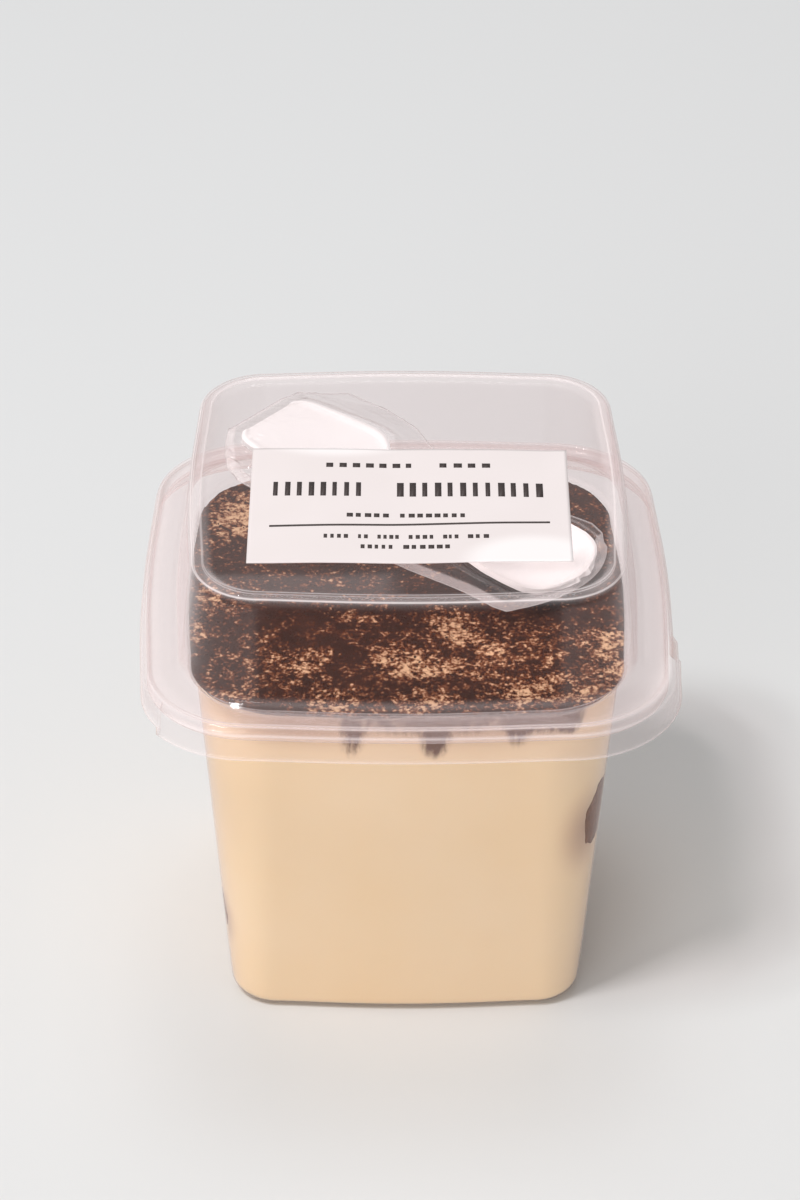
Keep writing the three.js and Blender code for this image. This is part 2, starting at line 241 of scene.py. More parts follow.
@dataclass(frozen=True)
class DairyCream:
    """Whipped mascarpone cream pressed against a clear wall: even, pale caramel, satin."""

    smears: tuple[SmearOrShade, ...]
    shades: tuple[SmearOrShade, ...]
    tone: str = "#fbdcb1"
    pale_tone: str = "#ffe6c5"
    cocoa_tone: str = "#5f2f17"
    shade_tone: str = "#b89684"
    satin: float = 0.4
    cloud: float = 28.0
    streak: float = 1.2
    streak_stretch: float = 0.35

    def material(self, centre: Vector) -> bpy.types.Material:
        """The node material.

        Args:
            centre: The cup's axis in the row's frame, in metres.

        Returns:
            The material, whose cocoa smears and painted shade lie on the wall.
        """
        material, tree = new_material("mascarpone_cream_smoothed_against_the_wall")
        place = add_node(tree, "TexCoord", output="Object")
        clouds = add_node(
            tree, "TexNoise", {"Vector": place, "Scale": 1 / (self.cloud * MM), "Detail": 2.0}
        )
        tones = {0: clouds, MIX_FIRST: self.tone, MIX_SECOND: self.pale_tone}
        base = add_node(tree, inputs=tones, **COLOUR_MIX)
        # painted shade: the cream darker under the flange and round the sponge pieces
        shade = self.nearness(tree, place, self.shades, centre)
        shaded = add_node(
            tree, inputs={0: shade, MIX_FIRST: base, MIX_SECOND: self.shade_tone}, **COLOUR_MIX
        )
        smear = self.smeared(tree, place, centre)
        colour = add_node(
            tree, inputs={0: smear, MIX_FIRST: shaded, MIX_SECOND: self.cocoa_tone}, **COLOUR_MIX
        )
        close_material(
            tree,
            colour,
            (clouds, 0.12, 0.2),
            Roughness=self.satin,
            IOR=1.45,
            Specular_IOR_Level=0.25,
            Subsurface_Weight=0.1,
            Subsurface_Radius=(1.0, 0.8, 0.6),
            Subsurface_Scale=1.2 * MM,
        )
        return material

    def nearness(
        self,
        tree: bpy.types.NodeTree,
        place: bpy.types.NodeSocket,
        dark_patches: Sequence[SmearOrShade],
        centre: Vector,
    ) -> bpy.types.NodeSocket | float:
        """How near each place is to the patches' middles, as one soft amount."""
        total: bpy.types.NodeSocket | float = 0.0
        for dark_patch in dark_patches:
            middle = centre + Vector(dark_patch.centre) * MM
            spread = add_node(
                tree,
                "Mapping",
                {"Vector": place, "Location": middle, "Scale": Vector(dark_patch.reach) * MM},
                vector_type="TEXTURE",
            )
            far = add_node(tree, "VectorMath", {0: spread}, "Value", operation="LENGTH")
            near = add_node(
                tree, "MapRange", {"Value": far, 3: 1.0, 4: 0.0}, interpolation_type="SMOOTHSTEP"
            )
            total = add_node(tree, inputs={0: near, 1: dark_patch.strength, 2: total}, **MULTIPLY_ADD)
        return total

    def smeared(
        self, tree: bpy.types.NodeTree, place: bpy.types.NodeSocket, centre: Vector
    ) -> bpy.types.NodeSocket:
        """How much cocoa lies at each place of the cream's side: ragged, in upright streaks."""
        stretch = {"Vector": place, "Scale": (1.0, 1.0, self.streak_stretch)}
        streaks = add_node(tree, "Mapping", stretch, vector_type="POINT")
        ragged = add_node(
            tree,
            "TexNoise",
            {"Vector": streaks, "Scale": 1 / (self.streak * MM), "Detail": 3.0, "Roughness": 0.65},
        )
        near = self.nearness(tree, place, self.smears, centre)
        level = add_node(tree, "Math", {0: near, 1: ragged}, operation="MULTIPLY")
        amount = {"Value": level, 1: 0.08, 2: 0.62, 3: 0.0, 4: 0.95}
        return add_node(tree, "MapRange", amount, interpolation_type="SMOOTHSTEP")


@dataclass(frozen=True)
class CocoaPowder:
    """Dry cocoa sifted over cream: matt, dark, and broken by specks of cream where it is thin.

    A grain of cocoa is about 0.02 mm, too fine to show. The patterns are the crumbs that it clings
    together in, under 1 mm, and the drifts that a sieve leaves, 2 to 3 mm.
    """

    dark: str = "#25140e"
    brown: str = "#4f2a1d"
    fresh: str = "#7c4529"
    cream: str = "#e2ba94"
    speck: float = 0.9
    cluster: float = 2.6
    grain: float = 0.75

    def material(self) -> bpy.types.Material:
        """The node material. The mesh attribute bare says how thin the dusting is."""
        material, tree = new_material("cocoa_powder_sifted")
        place = add_node(tree, "TexCoord", output="Object")
        specks, clusters = (
            add_node(
                tree,
                "TexNoise",
                {"Vector": place, "Scale": 1 / (size * MM), "Detail": 3.0, "Roughness": 0.6},
            )
            for size in (self.speck, self.cluster)
        )
        bare = add_node(tree, "Attribute", output="Fac", attribute_name="bare")
        colour = add_node(
            tree, inputs={0: clusters, MIX_FIRST: self.dark, MIX_SECOND: self.brown}, **COLOUR_MIX
        )
        grains = add_node(
            tree, "TexVoronoi", {"Vector": place, "Scale": 1 / (self.grain * MM)}, "Distance"
        )
        level = specks
        for part, weight in ((clusters, 0.85), (grains, -0.3), (bare, 0.36)):
            level = add_node(tree, inputs={0: part, 1: weight, 2: level}, **MULTIPLY_ADD)
        for start, end, tone in ((0.88, 1.04, self.fresh), (1.02, 1.24, self.cream)):
            shown = add_node(tree, "MapRange", {"Value": level, 1: start, 2: end})
            colour = add_node(
                tree, inputs={0: shown, MIX_FIRST: colour, MIX_SECOND: tone}, **COLOUR_MIX
            )
        close_material(tree, colour, (specks, 0.4, 0.2), Roughness=0.92, Specular_IOR_Level=0.12)
        return material


@dataclass(frozen=True)
class OpaqueFinish:
    """An opaque finish of two tones in soft patches, with a fine bump."""

    name: str
    dark: str
    light: str
    patch: float
    roughness: float
    bump: float
    specular: float = 0.3

    def material(self) -> bpy.types.Material:
        """The node material."""
        material, tree = new_material(self.name)
        place = add_node(tree, "TexCoord", output="Object")
        patches = add_node(
            tree,
            "TexNoise",
            {"Vector": place, "Scale": 1 / (self.patch * MM), "Detail": 5.0, "Roughness": 0.6},
        )
        colour = add_node(
            tree, inputs={0: patches, MIX_FIRST: self.dark, MIX_SECOND: self.light}, **COLOUR_MIX
        )
        close_material(
            tree,
            colour,
            (patches, 0.7, self.bump),
            Roughness=self.roughness,
            Specular_IOR_Level=self.specular,
        )
        return material


@dataclass(frozen=True)
class LabelPaper:
    """Coated white label paper, with painted light where the white spoon lies under it.

    Its fibres are about 0.03 mm across, too fine to show, and are drawn some ten times as coarse.
    """

    tone: str = "#e8dedd"
    shade_tone: str = "#e2d8d6"
    painted_spoon_light_tone: str = "#f3eceb"
    cloud: float = 14.0
    fibre: float = 0.35

    def material(self) -> bpy.types.Material:
        """The node material. A mesh attribute says where the spoon lies under the paper, for painted
        light there.
        """
        material, tree = new_material("coated_label_paper_printed")
        place = add_node(tree, "TexCoord", output="Object")
        clouds = add_node(
            tree, "TexNoise", {"Vector": place, "Scale": 1 / (self.cloud * MM), "Detail": 1.0}
        )
        fibre = add_node(
            tree, "TexNoise", {"Vector": place, "Scale": 1 / (self.fibre * MM), "Detail": 3.0}
        )
        painted_spoon_light = add_node(tree, "Attribute", output="Fac", attribute_name="painted_spoon_light")
        paper = add_node(
            tree, inputs={0: clouds, MIX_FIRST: self.tone, MIX_SECOND: self.shade_tone}, **COLOUR_MIX
        )
        # painted light: the paper lighter over the white spoon under it
        colour = add_node(
            tree, inputs={0: painted_spoon_light, MIX_FIRST: paper, MIX_SECOND: self.painted_spoon_light_tone}, **COLOUR_MIX
        )
        close_material(tree, colour, (fibre, 0.15, 0.02), Roughness=0.6, Specular_IOR_Level=0.3)
        return material


# Shaping tools


@dataclass(frozen=True)
class Station:
    """One level of a form round the box: a rounded square, its share of the lip, and how pale the
    sheet is there: painted highlight lines along the bends.
    """

    half: float
    corner: float
    z: float
    lip: float = 0.0
    haze_and_sheen: float = 0.0

    def towards(self, other: "Station", share: float) -> "Station":
        """The station that lies a share of the way to another."""
        mine = (self.half, self.corner, self.z, self.lip, self.haze_and_sheen)
        theirs = (other.half, other.corner, other.z, other.lip, other.haze_and_sheen)
        return Station(*(a + (b - a) * share for a, b in zip(mine, theirs)))

    def gap(self, other: "Station") -> float:
        """The distance to another station in the profile's plane."""
        return math.hypot(self.half - other.half, self.z - other.z)


WALL_FOOT = Station(BASE_HALF, 8.5, 0.0)
WALL_TOP = Station(WALL_HALF, WALL_CORNER, WALL_Z)


def wall_at(z: float) -> Station:
    """The cup's outer wall at a height."""
    return WALL_FOOT.towards(WALL_TOP, z / WALL_Z)


def rounded(stations: Sequence[Station], radius: float, steps: int = 4) -> list[Station]:
    """Rounds the inner corners of a profile.

    Args:
        stations: The profile's corners.
        radius: How far from a corner its curve begins, at most.
        steps: Spans along each curve.

    Returns:
        The stations along the rounded profile.
    """
    made = [stations[0]]
    for before, here, after in zip(stations, stations[1:], stations[2:]):
        cut = min(radius, 0.45 * here.gap(before), 0.45 * here.gap(after))
        start = here.towards(before, cut / here.gap(before))
        end = here.towards(after, cut / here.gap(after))
        for i in range(steps + 1):
            share = i / steps
            made.append(start.towards(here, share).towards(here.towards(end, share), share))
    return [*made, stations[-1]]


def spaced(stations: Sequence[Station], longest: float) -> list[Station]:
    """The same profile with no span longer than a length."""
    made = [stations[0]]
    for start, end in zip(stations, stations[1:]):
        count = max(1, math.ceil(start.gap(end) / longest))
        made.extend(start.towards(end, (i + 1) / count) for i in range(count))
    return made


def inset(stations: Sequence[Station], distance: float) -> list[Station]:
    """A profile moved to its left, which is into the box's sheet, at a constant distance."""
    made = []
    for i, here in enumerate(stations):
        before = stations[max(i - 1, 0)]
        after = stations[min(i + 1, len(stations) - 1)]
        along = Vector((after.half - before.half, after.z - before.z)).normalized()
        out, up = -along.y * distance, along.x * distance
        made.append(Station(here.half + out, max(here.corner + out, 0.4), here.z + up, here.lip))
    return made


@dataclass(frozen=True)
class BoxOutline:
    """The rounded square that every level of the box follows, with slightly bowed sides."""

    side_steps: int = 20
    corner_steps: int = 14
    bulge: float = SIDE_BULGE
    bulge_power: float = 1.35
    lip_out: float = 1.3
    lip_blend: float = 0.03
    lip_from_side: float = -0.64
    lip_to_corner: float = 0.4

    def lip_at(self, quarter: int, along: float | None, share: float) -> float:
        """How far the opening lip stands out at a place, from 0 to 1."""
        if quarter == 3:
            return 1.0
        if quarter == 0 and along is not None:
            start = self.lip_from_side
            return 1 - smoothstep(along, start - self.lip_blend, start + self.lip_blend)
        if quarter == 2 and along is None:
            start = self.lip_to_corner
            return smoothstep(share, start - self.lip_blend, start + self.lip_blend)
        return 0.0

    def places(self) -> list[tuple[int, float | None, float]]:
        """Quarter, place along its side, and share of its corner, anticlockwise from the right."""
        made: list[tuple[int, float | None, float]] = []
        for quarter in range(4):
            stops = [-1 + 2 * i / self.side_steps for i in range(1, self.side_steps)]
            turns = [i / self.corner_steps for i in range(self.corner_steps + 1)]
            blend = self.lip_blend
            if quarter == 0:
                stops += [self.lip_from_side - blend, self.lip_from_side + blend]
            if quarter == 2:
                turns += [self.lip_to_corner - blend, self.lip_to_corner + blend]
            made += [(quarter, along, 0.0) for along in sorted(stops)]
            made += [(quarter, None, share) for share in sorted(turns)]
        return made

    def point(self, station: Station, quarter: int, along: float | None, share: float) -> Vector:
        """A point of the outline, in millimetres."""
        bulge = self.bulge * min(1.0, station.half / BASE_HALF)
        straight = station.half - bulge - station.corner
        out = station.lip * self.lip_at(quarter, along, share) * self.lip_out
        angle = quarter * math.pi / 2
        facing = Vector((math.cos(angle), math.sin(angle), 0))
        across = Vector((-facing.y, facing.x, 0))
        if along is None:
            turn = share * math.pi / 2
            ahead = straight + (station.corner + out) * math.cos(turn)
            aside = straight + (station.corner + out) * math.sin(turn)
        else:
            fall = 1 - (1 - along * along) ** self.bulge_power
            ahead = station.half - bulge * fall + out
            aside = along * straight
        return facing * ahead + across * aside + Vector((0, 0, station.z))

    def ring(self, station: Station) -> list[Vector]:
        """The whole outline at a station."""
        return [self.point(station, *place) for place in self.places()]

    def on_square(self, station: Station, s: float, t: float) -> Vector:
        """The place in a station's outline that a place in the unit square maps to.

        Args:
            station: The level whose outline is filled.
            s: From -1 to 1 along X.
            t: From -1 to 1 along Y.

        Returns:
            The point, at the station's height.
        """
        reach = max(abs(s), abs(t))
        if reach < 1e-9:
            return Vector((0, 0, station.z))
        if abs(s) >= abs(t):
            quarter, along = (0, t / reach) if s > 0 else (2, -t / reach)
        else:
            quarter, along = (1, -s / reach) if t > 0 else (3, s / reach)
        side_share = 0.62
        if abs(along) <= side_share:
            edge = self.point(station, quarter, along / side_share, 0.0)
        else:
            turn = (abs(along) - side_share) / (1 - side_share) / 2
            edge = self.point(
                station,
                quarter if along > 0 else (quarter - 1) % 4,
                None,
                turn if along > 0 else 1 - turn,
            )
        return Vector((edge.x * reach, edge.y * reach, station.z))


def extrude_ring(
    bm: bmesh.types.BMesh, ring: Sequence[bmesh.types.BMVert], places: Sequence[Vector]
) -> list[bmesh.types.BMVert]:
    """Extrudes a closed ring of vertices and moves the new ring to its places.

    Args:
        bm: The mesh.
        ring: The vertices of the ring, in order.
        places: Where the new vertices go, in the same order.

    Returns:
        The new ring, in the same order.
    """
    index = {vert: i for i, vert in enumerate(ring)}
    edges = [bm.edges.get((a, b)) for a, b in zip(ring, [*ring[1:], ring[0]])]
    made = bmesh.ops.extrude_edge_only(bm, edges=edges)["geom"]
    new: list = [None] * len(ring)
    for vert in (x for x in made if isinstance(x, bmesh.types.BMVert)):
        for edge in vert.link_edges:
            old = index.get(edge.other_vert(vert))
            if old is not None:
                new[old] = vert
                vert.co = places[old]
    return new


def loft(
    rings: Sequence[Sequence[Vector]], close_first: bool = False, close_last: bool = False
) -> bmesh.types.BMesh:
    """A surface through rings of equal length, made by extruding a first circle.

    Args:
        rings: The rings, from first to last.
        close_first: Whether the first ring is drawn together to a point at its middle.
        close_last: The same for the last ring.

    Returns:
        The mesh, with its faces turned outwards.
    """
    bm = bmesh.new()
    count = len(rings[0])
    start = bmesh.ops.create_circle(bm, segments=count, radius=1.0)["verts"]
    for vert, place in zip(start, rings[0]):
        vert.co = place
    ring = start
    for places in rings[1:]:
        ring = extrude_ring(bm, ring, places)
    for closing, wanted in ((ring, close_last), (start, close_first)):
        if wanted:
            middle = sum((v.co for v in closing), Vector()) / count
            inner = extrude_ring(bm, closing, [middle.copy() for _ in closing])
            bmesh.ops.pointmerge(bm, verts=inner, merge_co=middle)
    bmesh.ops.recalc_face_normals(bm, faces=bm.faces)
    middle = sum((v.co for v in bm.verts), Vector()) / len(bm.verts)
    outward = sum(f.calc_area() * f.normal.dot(f.calc_center_median() - middle) for f in bm.faces)
    if outward < 0:
        bmesh.ops.reverse_faces(bm, faces=bm.faces)
    return bm


def closed_grid(rows: int, columns: int, attribute: str) -> tuple:
    """A flat grid doubled into a closed envelope, to be shaped from its unit square.

    Args:
        rows: Cells along X.
        columns: Cells along Y.
        attribute: A float attribute that it gets.

    Returns:
        The mesh, the attribute's layer and the set of the lower face's vertices.
    """
    bm = bmesh.new()
    bmesh.ops.create_grid(bm, x_segments=rows, y_segments=columns, size=1.0)
    layer = bm.verts.layers.float.new(attribute)
    low = bmesh.ops.extrude_face_region(bm, geom=list(bm.faces), use_keep_orig=True)
    return bm, layer, {v for v in low["geom"] if isinstance(v, bmesh.types.BMVert)}


def formed_sheet(
    outline: BoxOutline,
    profile: Sequence[Station],
    veil: Callable[[Vector], float] | None = None,
    **closing: bool,
) -> bmesh.types.BMesh:
    """A sheet drawn round the box along a profile, with how pale it is as a mesh attribute: painted
    highlight lines and painted reflection.

    Args:
        outline: The outline of every level.
        profile: The levels.
        veil: More painted reflection for a place, if any.
        **closing: Which end loft() closes.

    Returns:
        The mesh.
    """
    bm = loft([outline.ring(station) for station in profile], **closing)
    layer = bm.verts.layers.float.new("haze_and_sheen")
    count = len(outline.places())
    for i, vert in enumerate(bm.verts):
        station = profile[min(i // count, len(profile) - 1)]
        vert[layer] = station.haze_and_sheen + (veil(vert.co) if veil else 0.0)
    return bm


def box_axis() -> Vector:
    """The point under the middle of the cup, in metres in the row's frame."""
    low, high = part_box("cup")
    return Vector(((low.x + high.x) / 2, (low.y + high.y) / 2, 0))


ROW = Matrix.Translation(box_axis()) @ Matrix.Scale(MM, 4)


def finish_piece(
    name: str,
    bm: bmesh.types.BMesh,
    material: bpy.types.Material,
    stands_for: Sequence[str] = (),
) -> bpy.types.Object:
    """Makes an object of a finished mesh and ties it to the frame.

    Args:
        name: The piece's name.
        bm: Its mesh in millimetres in the box's frame, freed here.
        material: Its material.
        stands_for: The CAD nodes that it replaces.

    Returns:
        The object, at the origin of the row's frame.
    """
    bmesh.ops.transform(bm, matrix=ROW, verts=bm.verts)
    for face in bm.faces:
        face.smooth = True
    mesh = bpy.data.meshes.new(name)
    bm.to_mesh(mesh)
    bm.free()
    mesh.materials.append(material)
    piece = bpy.data.objects.new(name, mesh)
    bpy.context.scene.collection.objects.link(piece)
    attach(piece, "root")
    if stands_for:
        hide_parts(*stands_for)
    LOG.info("%s: %d faces, for %s", name, len(mesh.polygons), list(stands_for) or "no node")
    return piece


def give_thickness(piece: bpy.types.Object, thickness: float, even: bool = True) -> None:
    """Gives a sheet its thickness inwards, with a closed rim."""
    solidify = piece.modifiers.new("sheet thickness", "SOLIDIFY")
    solidify.thickness = thickness * MM
    solidify.offset = -1.0
    solidify.use_even_offset = even


# Amorphous PET sheet, heated and drawn over a mould: clear, glossy and faintly rosy seen edge-on.
CLEAR_PET = ClearSheet(
    name="clear_pet_sheet_thermoformed",
    face_tone="#fffdfd",
    edge_tone="#f1e5e4",
    milk=0.0015,
    milk_tone="#fff5f4",
    gloss=0.01,
    roughness=0.06,
)
# Cast polypropylene film, about 0.03 mm: clear, softly glossy, and paler along its heat seals.
SLEEVE_FILM = ClearSheet(
    name="clear_polypropylene_film_creased",
    face_tone="#ffffff",
    edge_tone="#e2d7d5",
    milk=0.003,
    milk_tone="#fffaf9",
    glancing_milk=0.3,
    gloss=0.016,
    roughness=0.08,
)


@dataclass
class ClearCup:
    """The tapered cup, its shoulder and its flange, formed from one clear sheet."""

    outline: BoxOutline
    foot_radius: float = 3.6
    hollow_half: float = 30.5
    hollow_rise: float = 0.35
    rim_z: float = 76.9
    flange_half: float = 49.5

    def wall(self) -> list[Station]:
        """The outer wall from the foot's flat up to the shoulder."""
        return rounded([Station(28.0, 5.2, 0.0), WALL_FOOT, WALL_TOP], self.foot_radius, steps=8)

    def profile(self) -> list[Station]:
        """The whole outer profile, from the middle of the bottom to the flange's edge."""
        bottom = [
            Station(6.0, 1.5, self.hollow_rise),
            Station(self.hollow_half - 3.5, 4.6, self.hollow_rise),
            Station(self.hollow_half - 2.2, 5.0, 0.0),
        ]
        under = self.rim_z - SHEET
        # the last number of a station is painted highlight: pale lines along the shoulder's and
        # flange's bends
        shoulder = rounded(
            [
                Station(40.9, 15.65, 73.6),
                Station(WALL_HALF, WALL_CORNER, WALL_Z, 0.0, 0.12),
                Station(42.1, 16.3, 75.6, 0.0, 0.04),
                Station(42.5, 16.6, under, 0.0, 0.15),
                Station(43.2, 17.0, under, 0.0, 0.02),
                Station(self.flange_half - 0.7, 18.9, under, 0.0, 0.03),
                Station(self.flange_half - 0.1, 19.4, 76.0, 0.0, 0.16),
                Station(self.flange_half, 19.4, 75.4, 0.0, 0.16),
            ],
            0.6,
            steps=3,
        )
        return spaced([*bottom, *self.wall()[1:-1], *shoulder], 4.0)

    def build(self) -> bpy.types.Object:
        """Makes the cup."""
        bm = formed_sheet(self.outline, self.profile(), close_first=True)
        piece = finish_piece("cup_shell", bm, CLEAR_PET.material(), ["cup"])
        give_thickness(piece, SHEET)
        return piece


@dataclass
class DomedLid:
    """The clip-on lid: skirt, rim bead, clip groove, low dome and sunken panel, of one sheet."""

    outline: BoxOutline
    # the last number of each station is painted highlight: pale lines along the skirt's and bead's
    # bends
    skirt: tuple[Station, ...] = (
        Station(51.18, 20.6, 72.7, 1.0, 0.3),
        Station(51.1, 20.55, 72.8, 1.0, 0.2),
        Station(50.78, 20.3, 73.14, 1.0, 0.06),
        Station(50.73, 20.25, 74.1, 1.0, 0.04),
        Station(50.72, 20.1, 77.2, 0.72, 0.03),
        Station(50.65, 20.0, 77.5, 0.65, 0.3),
        Station(50.5, 19.9, 77.8, 0.5, 0.03),
        Station(50.3, 19.65, 78.7, 0.3, 0.05),
        Station(49.8, 19.2, 79.0, 0.0, 0.3),
        Station(49.3, 18.9, 78.8, 0.0, 0.05),
        Station(48.8, 18.6, 77.9, 0.0, 0.16),
        Station(46.9, 17.6, 78.3, 0.0, 0.05),
        Station(45.9, 17.0, 78.5, 0.0, 0.05),
    )
    # painted highlight lines along the crown's bends, as the last number of each station
    dome: tuple[Station, ...] = (
        Station(45.4, 16.7, 78.64, 0.0, 0.05),
        Station(44.75, 16.3, 79.14, 0.0, 0.04),
        Station(44.1, 15.9, 79.63, 0.0, 0.09),
        Station(43.8, 15.65, 80.6),
        Station(41.5, 13.25, 98.9),
        Station(41.3, 13.05, 99.9, 0.0, 0.04),
        Station(41.12, 12.85, 100.3, 0.0, 0.12),
        Station(41.0, 12.72, 100.5, 0.0, 0.65),
        Station(40.8, 12.55, 100.72, 0.0, 0.14),
        Station(40.3, 12.1, 101.0, 0.0, 0.11),
        Station(39.3, 11.2, 101.0, 0.0, 0.11),
        Station(39.0, 10.95, 100.9, 0.0, 0.4),
        Station(38.75, 10.7, 100.79, 0.0, 0.08),
        Station(37.88, 10.0, 100.13, 0.0, 0.05),
        Station(37.2, 9.4, PANEL_Z, 0.0, 0.004),
        Station(14.0, 3.4, PANEL_Z, 0.0, 0.002),
    )
    dome_straight: float = 27.1
    wall_levels: tuple[float, float] = (80.0, 99.0)
    # painted reflection: a pale veil on the dome's corners and the panel's front
    corner_veil: float = 0.028
    panel_from: float = 99.9
    panel_half: float = 37.4
    panel_veil: float = 0.04
    left_painted_veil: tuple[tuple[float, float], ...] = ((30.3, 31.5), (-4.0, -1.5))
    right_painted_veil: tuple[tuple[float, float], ...] = ((24.0, 27.0), (22.0, 25.0))

    def veil(self, place: Vector) -> float:
        """Painted reflection: a pale veil on the sheet round the dome's corners and on the panel's
        front, where the clear sheet shows reflections.
        """
        low, high = self.wall_levels
        if low < place.z < high:
            beside = min(abs(place.x), abs(place.y)) - self.dome_straight
            return self.corner_veil * smoothstep(beside, -0.3, 0.9)
        if place.z < self.panel_from or max(abs(place.x), abs(place.y)) > self.panel_half:
            return 0.0
        forward, across = self.left_painted_veil
        left = smoothstep(-place.y, *forward) * (1 - smoothstep(place.x, *across))
        forward, across = self.right_painted_veil
        right = smoothstep(-place.y, *forward) * smoothstep(place.x, *across)
        return self.panel_veil * max(left, right)

    def build(self) -> bpy.types.Object:
        """Makes the lid."""
        profile = spaced(rounded([*self.skirt, *self.dome], 0.5, steps=3), 1.5)
        bm = formed_sheet(self.outline, profile, self.veil, close_last=True)
        piece = finish_piece("lid_shell", bm, CLEAR_PET.material(), ["lid"])
        give_thickness(piece, SHEET)
        return piece


def cream_height(x: float, y: float) -> float:
    """The cream's upper surface: a low dome with the waves that a spatula leaves."""
    dome = 0.7 * (1 - min(1.0, (x * x + y * y) / WALL_HALF**2))
    waves = 0.3 * math.sin(0.15 * x + 0.7) * math.cos(0.13 * y - 0.4)
    return 75.1 + dome + waves + 0.12 * math.sin(0.34 * x - 0.29 * y + 1.2)


@dataclass
class CreamFill:
    """All that fills the cup below the cocoa. It reaches just into the wall."""

    outline: BoxOutline
    cup: ClearCup
    into_wall: float = 0.25
    top_rows: int = 24

    def build(self, finish: DairyCream) -> bpy.types.Object:
        """Makes the cream."""
        wall = inset(spaced(self.cup.wall(), 3.0), self.into_wall)
        rings = [self.outline.ring(station) for station in wall]
        rings.append(self.outline.ring(Station(wall[-1].half + 0.1, wall[-1].corner, 74.6)))
        for row in range(self.top_rows):
            share = 1 - row / self.top_rows
            rings.append(
                [
                    Vector((p.x * share, p.y * share, cream_height(p.x * share, p.y * share)))
                    for p in rings[len(wall)]
                ]
            )
        bm = loft(rings, close_first=True, close_last=True)
        return finish_piece("cream_fill", bm, finish.material(box_axis()), ["cream"])


@dataclass(frozen=True)
class BarePatch:
    """A place where the dusting is thin and cream shows through."""

    x: float
    y: float
    reach_x: float
    reach_y: float
    amount: float

    def at(self, x: float, y: float) -> float:
        """How bare the place is, from 0 to the patch's amount."""
        far = math.hypot((x - self.x) / self.reach_x, (y - self.y) / self.reach_y)
        return self.amount * (1 - smoothstep(far, 0.2, 1.2))


@dataclass
class CocoaDusting:
    """The sifted cocoa on the cream: a rough layer with thin patches, and loose clumps on it.

    A lump or grain is how high it stands and how far it is to the next.
    """

    outline: BoxOutline
    edge: Station = Station(41.8, 16.1, 76.0)
    foot: Station = Station(40.9, 15.5, 74.6)
    cells: int = 210
    thickness: float = 0.75
    lump: tuple[float, float] = (0.22, 3.2)
    grains: tuple[tuple[float, float], ...] = ((0.13, 0.75), (0.08, 0.4))
    clump_count: int = 1400
    clumps_at_once: int = 70
    spread: float = 0.95
    patches: tuple[BarePatch, ...] = (
        BarePatch(8, -15, 12, 9, 0.6),
        BarePatch(2, -25, 14, 9, 0.62),
        BarePatch(5, -36, 12, 6, 0.62),
        BarePatch(-12, -37, 11, 6, 0.58),
        BarePatch(-20, -27, 12, 8, 0.46),
        BarePatch(39, -26, 11, 17, 0.85),
        BarePatch(27, -34, 17, 8, 0.66),
        BarePatch(20, -20, 15, 11, 0.55),
        BarePatch(-31, -36, 7, 4, 0.55),
        BarePatch(-34, 26, 9, 12, 0.9),
        BarePatch(-38, -8, 6, 16, 0.5),
    )

    def bare(self, x: float, y: float) -> float:
        """How thin the dusting is at a place, from 0 to about 1."""
        at = Vector((x, y, 3.0))
        drift = noise.fractal(at / 9.0, 0.9, 2.0, 4)
        patch = max(p.at(x, y) for p in self.patches)
        return max(0.0, min(1.0, 0.18 + patch * (0.8 + 0.4 * drift) + 0.25 * drift))

    def height(self, x: float, y: float) -> float:
        """The dusting's upper surface."""
        at = Vector((x, y, 0.0))
        rise, pitch = self.lump
        lumps = rise * noise.fractal(at / pitch, 0.8, 2.0, 3)
        grains = sum(rise * noise.noise(at / pitch) for rise, pitch in self.grains)
        left = 1 - 0.55 * self.bare(x, y)
        return cream_height(x, y) + 0.3 + self.thickness * left + lumps + grains

    def build(self, finish: CocoaPowder) -> bpy.types.Object:
        """Makes the layer, closed below and at its edge."""
        bm, bare, under = closed_grid(self.cells, self.cells, "bare")
        for vert in bm.verts:
            level = self.foot if vert in under else self.edge
            place = self.outline.on_square(level, vert.co.x, vert.co.y)
            if vert in under:
                vert.co = Vector((place.x, place.y, cream_height(place.x, place.y) - 0.4))
            else:
                vert[bare] = self.bare(place.x, place.y)
                vert.co = Vector((place.x, place.y, self.height(place.x, place.y)))
        bmesh.ops.recalc_face_normals(bm, faces=bm.faces)
        return finish_piece("cocoa_dusting", bm, finish.material(), ["cocoa"])

    def build_clumps(self, finish: OpaqueFinish) -> bpy.types.Object:
        """Makes the loose clumps of powder, each a small rough ball."""
        draw = random.Random(11)
        whole = bmesh.new()
        for _ in range(self.clump_count // self.clumps_at_once):
            bm = bmesh.new()
            for _ in range(self.clumps_at_once):
                self.add_clump(bm, draw)
            part = bpy.data.meshes.new("clumps")
            bm.to_mesh(part)
            bm.free()
            whole.from_mesh(part)
            bpy.data.meshes.remove(part)
        return finish_piece("cocoa_clumps", whole, finish.material())

    def add_clump(self, bm: bmesh.types.BMesh, draw: random.Random) -> None:
        """Adds one clump at a random place of the dusting."""
        across, along = (draw.uniform(-self.spread, self.spread) for _ in range(2))
        place = self.outline.on_square(self.edge, across, along)
        size = 0.14 + 0.24 * draw.random() ** 3
        height = self.height(place.x, place.y) + size * 0.3
        turn = Matrix.Rotation(draw.uniform(0, math.tau), 4, "Z")
        squash = Matrix.Diagonal((1, draw.uniform(0.6, 1), draw.uniform(0.5, 0.9), 1))
        move = Matrix.Translation((place.x, place.y, height))
        bmesh.ops.create_icosphere(bm, subdivisions=1, radius=size, matrix=move @ turn @ squash)


